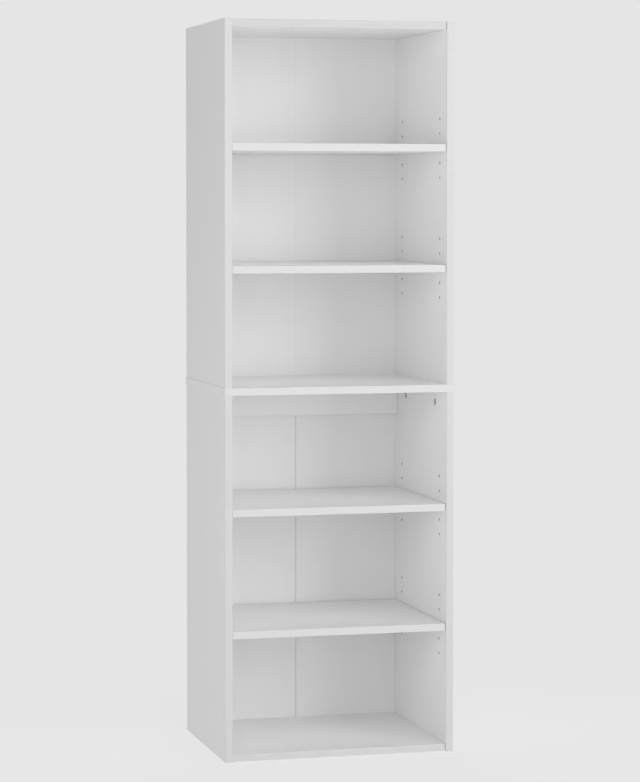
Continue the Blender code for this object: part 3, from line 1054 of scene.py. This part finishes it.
def make_wire(shelf, hand_name):
    """A bent wire: out of the front hole, along the shelf's end and into the rear hole."""
    node = f"{shelf}_wire_{hand_name}"
    low, high, _ = box_of(node)
    hand = HANDS[hand_name]
    (front, rear), height, radius = wire_columns(shelf, hand_name)
    hole_end, run = (high.x, low.x + radius) if hand > 0 else (low.x, high.x - radius)
    into = Vector((-hand, 0, 0))
    bm = bmesh.new()
    upright = Matrix.Rotation(math.radians(90), 4, "Y")
    bmesh.ops.create_circle(
        bm,
        cap_ends=True,
        segments=WIRE_SEGMENTS,
        radius=radius - WIRE_CHAMFER,
        matrix=Matrix.Translation((hole_end, front, height)) @ upright,
    )
    face = next(iter(bm.faces))
    straight = abs(hole_end - run) - WIRE_BEND - WIRE_CHAMFER
    widen = radius / (radius - WIRE_CHAMFER)
    face = extrude(bm, face, into * WIRE_CHAMFER, widen)
    face = extrude(bm, face, into * straight)
    corner = Vector((run + hand * WIRE_BEND, front + WIRE_BEND, height))
    face = bend(bm, face, corner, -hand * math.radians(90))
    face = extrude(bm, face, Vector((0, rear - front - 2 * WIRE_BEND, 0)))
    corner = Vector((run + hand * WIRE_BEND, rear - WIRE_BEND, height))
    face = bend(bm, face, corner, -hand * math.radians(90))
    face = extrude(bm, face, -into * straight)
    extrude(bm, face, -into * WIRE_CHAMFER, 1 / widen)
    close_poles(bm)
    wire = new_object(bm, f"{node}_bent", PLATED)
    shade_by_angle(wire, WIRE_CREASE)
    settle(wire, "carcass", "wire_steel", node)


def place_copy(pattern, name, at, z_axis, y_axis, body, slot, node=None):
    """A copy of a pattern made about its own Z, turned and moved into place in its mesh."""
    x_axis = y_axis.cross(z_axis)
    turn = Matrix((x_axis, y_axis, z_axis)).transposed().to_4x4()
    mesh = pattern.data.copy()
    mesh.transform(Matrix.Translation(at) @ turn)
    obj = bpy.data.objects.new(name, mesh)
    bpy.context.scene.collection.objects.link(obj)
    settle(obj, body, slot, *([node] if node else []))


def ring_sector(inner, outer, half_height, middle, centre, half_angle):
    """Part of a flat ring about Z, centred this far round from +Y."""
    bm = bmesh.new()
    turn = Matrix.Rotation(centre - half_angle, 3, "Z")
    low, high = middle - half_height, middle + half_height
    corners = ((inner, low), (outer, low), (outer, high), (inner, high))
    verts = [bm.verts.new(turn @ Vector((0.0, r, z))) for r, z in corners]
    face = bm.faces.new(verts)
    bmesh.ops.spin(
        bm,
        geom=[face, *face.edges, *face.verts],
        cent=(0, 0, 0),
        axis=(0, 0, 1),
        angle=2 * half_angle,
        steps=max(4, round(ROUND_SEGMENTS * half_angle / math.pi)),
        use_merge=False,
        use_duplicate=False,
    )
    return bm


def make_cam_pattern():
    """A tightened cam lock about Z, with its slotted face at z = 0 and its bolt on the +Y side."""
    low, high, _ = box_of("top_left_front_cam")
    radius, depth = (high.y - low.y) / 2, high.z - low.z
    cavity = radius - CAM_WALL
    body = radius - CAM_RELIEF
    profile = [
        (0, 0),
        (radius - CAM_CHAMFER, 0),
        (radius, -CAM_CHAMFER),
        (radius, -CAM_FLANGE),
        (body, -CAM_FLANGE - CAM_RELIEF),
        (body, -depth + CAM_CHAMFER),
        (body - CAM_CHAMFER, -depth),
        (0, -depth),
    ]
    bm = bmesh.new()
    add_turned(bm, profile, ROUND_SEGMENTS)
    close_poles(bm)
    cam = new_object(bm, "cam_pattern", DIE_CAST, CROSS_PAINTED_SHADE)

    hollow = bmesh.new()
    floor, roof = -HEAD_BELOW_FACE - CAVITY_HALF, -HEAD_BELOW_FACE + CAVITY_HALF
    add_turned(hollow, [(0, floor), (cavity, floor), (cavity, roof), (0, roof)], ROUND_SEGMENTS)
    close_poles(hollow)
    combine(cam, hollow, "DIFFERENCE")

    inner, outer = cavity - CAM_WALL / 2, radius + CLEAR
    past_neck = NECK_SLOT_OVERRUN * math.asin(NECK_SLOT_HALF / inner)
    half_swing = (math.pi + past_neck) / 2
    slot = ring_sector(
        inner, outer, NECK_SLOT_HALF, -HEAD_BELOW_FACE, past_neck - half_swing, half_swing
    )
    combine(cam, slot, "DIFFERENCE")
    half_entry = math.asin(ENTRY_HALF / cavity)
    entry = ring_sector(inner, outer, ENTRY_HALF, -HEAD_BELOW_FACE, math.pi, half_entry)
    combine(cam, entry, "DIFFERENCE")

    # The walls of the cross take the dark zinc copy: painted shade in the recess.
    for length, width in ((CROSS_LENGTH, CROSS_WIDTH), (CROSS_WIDTH, CROSS_LENGTH)):
        bar = bmesh.new()
        corner = Vector((length / 2, width / 2, CROSS_DEPTH))
        verts = add_box(bar, -corner, corner)
        lower = [v for v in verts if v.co.z < 0]
        bmesh.ops.scale(bar, vec=(CROSS_TAPER, CROSS_TAPER, 1), verts=lower)
        combine(cam, bar, "DIFFERENCE", wall=1)

    arrow = bmesh.new()
    bmesh.ops.create_circle(arrow, cap_ends=True, segments=3, radius=1.0)
    # A triangle in a circle of radius 1 is sqrt(3) wide and 1.5 long.
    size = (ARROW_WIDTH / math.sqrt(3), ARROW_LENGTH / 1.5, 1)
    bmesh.ops.scale(arrow, vec=size, verts=arrow.verts)
    tip = radius - CAM_CHAMFER - ARROW_LENGTH
    bmesh.ops.translate(arrow, vec=(0, tip, -ARROW_DEPTH), verts=arrow.verts)
    extrude(arrow, next(iter(arrow.faces)), Vector((0, 0, 2 * ARROW_DEPTH)))
    combine(cam, arrow, "DIFFERENCE")
    shade_by_angle(cam, CAM_CREASE)
    return cam


def make_bolt_pattern():
    """A connecting bolt along +Z with the tip of its thread at z = 0."""
    low, high, _ = box_of("top_left_front_bolt")
    length = high.x - low.x
    bm = bmesh.new()
    turns = math.ceil(THREAD_LENGTH / THREAD_PITCH) + 2
    rise, fall = THREAD_CREST
    ridge = ((THREAD_ROOT, 0.0), (THREAD_RADIUS, rise), (THREAD_RADIUS, fall), (THREAD_ROOT, 1.0))
    verts = [bm.verts.new((r, 0, (share - 1) * THREAD_PITCH)) for r, share in ridge]
    edges = [bm.edges.new(pair) for pair in zip(verts, verts[1:])]
    bmesh.ops.spin(
        bm,
        geom=verts + edges,
        cent=(0, 0, 0),
        dvec=(0, 0, THREAD_PITCH / BOLT_SEGMENTS),
        axis=(0, 0, 1),
        angle=2 * math.pi * turns,
        steps=BOLT_SEGMENTS * turns,
        use_merge=False,
        use_duplicate=False,
    )
    close_poles(bm)
    for height, way in ((0.0, -1), (THREAD_LENGTH + RIM, 1)):
        bmesh.ops.bisect_plane(
            bm,
            geom=[*bm.verts, *bm.edges, *bm.faces],
            dist=0.0001 * MM,
            plane_co=(0, 0, height),
            plane_no=(0, 0, way),
            clear_outer=True,
        )
    bmesh.ops.holes_fill(bm, edges=[e for e in bm.edges if e.is_boundary], sides=0)
    bolt = new_object(bm, "bolt_pattern", PLATED)

    collar = THREAD_LENGTH
    neck = collar + COLLAR_LENGTH
    face = length - 2 * HEAD_RADIUS
    profile = [
        (0, collar),
        (COLLAR_RADIUS - RIM, collar),
        (COLLAR_RADIUS, collar + RIM),
        (COLLAR_RADIUS, neck - RIM),
        (COLLAR_RADIUS - RIM, neck),
        (NECK_RADIUS, neck),
        (NECK_RADIUS, face),
        (HEAD_RADIUS - HEAD_CHAMFER, face),
        (HEAD_RADIUS, face + HEAD_CHAMFER),
        (HEAD_RADIUS, length - HEAD_CHAMFER),
        (HEAD_RADIUS - HEAD_CHAMFER, length),
        (0, length),
    ]
    upper = bmesh.new()
    add_turned(upper, profile, BOLT_SEGMENTS)
    close_poles(upper)
    combine(bolt, upper, "UNION")
    shade_by_angle(bolt, BOLT_CREASE)
    return bolt


def make_dowel_pattern():
    """A fluted dowel along +Z with its short end at z = 0 and its grain running along it."""
    bm = bmesh.new()
    bmesh.ops.create_circle(bm, cap_ends=True, segments=4 * FLUTES, radius=DOWEL_RADIUS)
    for index, vert in enumerate(bm.verts):
        if index % 4 > 1:
            vert.co.xy *= 1 - FLUTE_DEPTH / DOWEL_RADIUS
    narrow = 1 - DOWEL_CHAMFER / DOWEL_RADIUS
    bmesh.ops.scale(bm, vec=(narrow, narrow, 1), verts=bm.verts)
    length = DOWEL_SHORT_BITE + DOWEL_LONG_BITE
    face = extrude(bm, next(iter(bm.faces)), Vector((0, 0, DOWEL_CHAMFER)), 1 / narrow)
    face = extrude(bm, face, Vector((0, 0, length - 2 * DOWEL_CHAMFER)))
    extrude(bm, face, Vector((0, 0, DOWEL_CHAMFER)), narrow)
    grain = bm.loops.layers.uv.new("grain")
    for face in bm.faces:
        middle = face.calc_center_median()
        facing = math.atan2(middle.y, middle.x)
        for loop in face.loops:
            angle = math.atan2(loop.vert.co.y, loop.vert.co.x)
            angle += 2 * math.pi * round((facing - angle) / (2 * math.pi))
            loop[grain].uv = (angle * DOWEL_RADIUS, loop.vert.co.z)
    dowel = new_object(bm, "dowel_pattern", BEECH)
    shade_by_angle(dowel, DOWEL_CREASE)
    return dowel


def make_fittings(dowels):
    for shelf in SHELVES:
        for hand_name in HANDS:
            make_wire(shelf, hand_name)
    cam, bolt, dowel = make_cam_pattern(), make_bolt_pattern(), make_dowel_pattern()
    for name, _, _, facing, pointing in each_fitting():
        node = f"{name}_cam"
        at = end_of(node, facing)
        place_copy(cam, f"{node}_lock", at, facing, -pointing, node, "cam_zinc", node)
        node = f"{name}_bolt"
        at = end_of(node, -pointing)
        place_copy(bolt, f"{node}_turned", at, pointing, facing, "carcass", "bolt_steel", node)
    for made in dowels:
        at = made.joint - made.pointing * DOWEL_SHORT_BITE
        across = square_to(made.pointing)
        place_copy(dowel, made.name, at, made.pointing, across, "carcass", "dowel_beech", made.node)
    for pattern in (cam, bolt, dowel):
        bpy.data.objects.remove(pattern, do_unlink=True)


# ---- Floor, light and camera ----

CAMERA_AT = (-1.5679, -5.9535, 1.1971)
CAMERA_TURN = -14.813
CAMERA_DROP = 2.254
CAMERA_LENS = 128.32
CAMERA_SHIFT = -0.1023
CAMERA_REACH = 100.0
SENSOR = 36.0
BACKDROP = "#E5E5E5"
ROOM_STRENGTH = 0.15


def make_floor():
    bm = bmesh.new()
    bmesh.ops.create_grid(bm, x_segments=1, y_segments=1, size=FLOOR_HALF)
    new_object(bm, "floor", lit_floor())


def make_light(name, turn, height, distance, size, power):
    """A square softbox this far round from the front and off, aimed at the middle of the bookcase."""
    light = bpy.data.lights.new(name, "AREA")
    light.shape = "SQUARE"
    light.size = size
    light.energy = power
    obj = bpy.data.objects.new(name, light)
    around = math.radians(turn)
    at = Vector((math.sin(around) * distance, -math.cos(around) * distance, height))
    obj.location = at
    obj.rotation_mode = "QUATERNION"
    obj.rotation_quaternion = (at - AIM).to_track_quat("Z", "Y")
    obj.visible_camera = False
    bpy.context.scene.collection.objects.link(obj)


# Degrees round from the front, height, distance and size in metres, and power in watts of each softbox
SOFTBOXES = {
    "key": (18, 2.75, 6.0, 5.0, 78),
    "right_fill": (40, 1.25, 6.0, 4.0, 176),
    "left_fill": (-35, 1.15, 4.5, 3.0, 51),
    "left_rim": (-60, 1.15, 4.5, 3.0, 14),
    "overhead": (-10, 4.6, 4.5, 3.0, 40),
    "top": (180, 3.9, 0.7, 1.2, 26),
    "back": (168, 2.4, 4.5, 3.0, 60),
}
AIM = Vector((0.0, 0.0, 0.9))


def make_world(scene):
    """An even pale backdrop, and a dim room behind the softboxes that fills the shadows."""
    world = bpy.data.worlds.new("studio")
    world.use_nodes = True
    world.node_tree.nodes.clear()
    backdrop = add_node(world, "ShaderNodeBackground", {"Color": linear(BACKDROP), "Strength": 1.0})
    white = {"Color": (1.0, 1.0, 1.0, 1.0), "Strength": ROOM_STRENGTH}
    room = add_node(world, "ShaderNodeBackground", white)
    path = add_node(world, "ShaderNodeLightPath")
    both = add_node(
        world,
        "ShaderNodeMixShader",
        {0: path.outputs["Is Camera Ray"], 1: room.outputs[0], 2: backdrop.outputs[0]},
    )
    add_node(world, "ShaderNodeOutputWorld", {"Surface": both.outputs[0]})
    scene.world = world


def make_light_and_camera():
    scene = bpy.context.scene
    scene.view_settings.view_transform = "Standard"
    make_world(scene)
    for name, placing in SOFTBOXES.items():
        make_light(name, *placing)

    camera = bpy.data.cameras.new("camera")
    camera.lens = CAMERA_LENS
    camera.sensor_width = SENSOR
    camera.shift_y = CAMERA_SHIFT
    camera.clip_end = CAMERA_REACH
    obj = bpy.data.objects.new("camera", camera)
    obj.location = CAMERA_AT
    obj.rotation_euler = (math.radians(90 - CAMERA_DROP), 0.0, math.radians(CAMERA_TURN))
    scene.collection.objects.link(obj)
    scene.camera = obj


plan_wire_holes()
plan_cam_and_bolt_holes()
fluted_dowels = plan_dowels()
make_boards()
make_backs()
make_fittings(fluted_dowels)
make_floor()
make_light_and_camera()
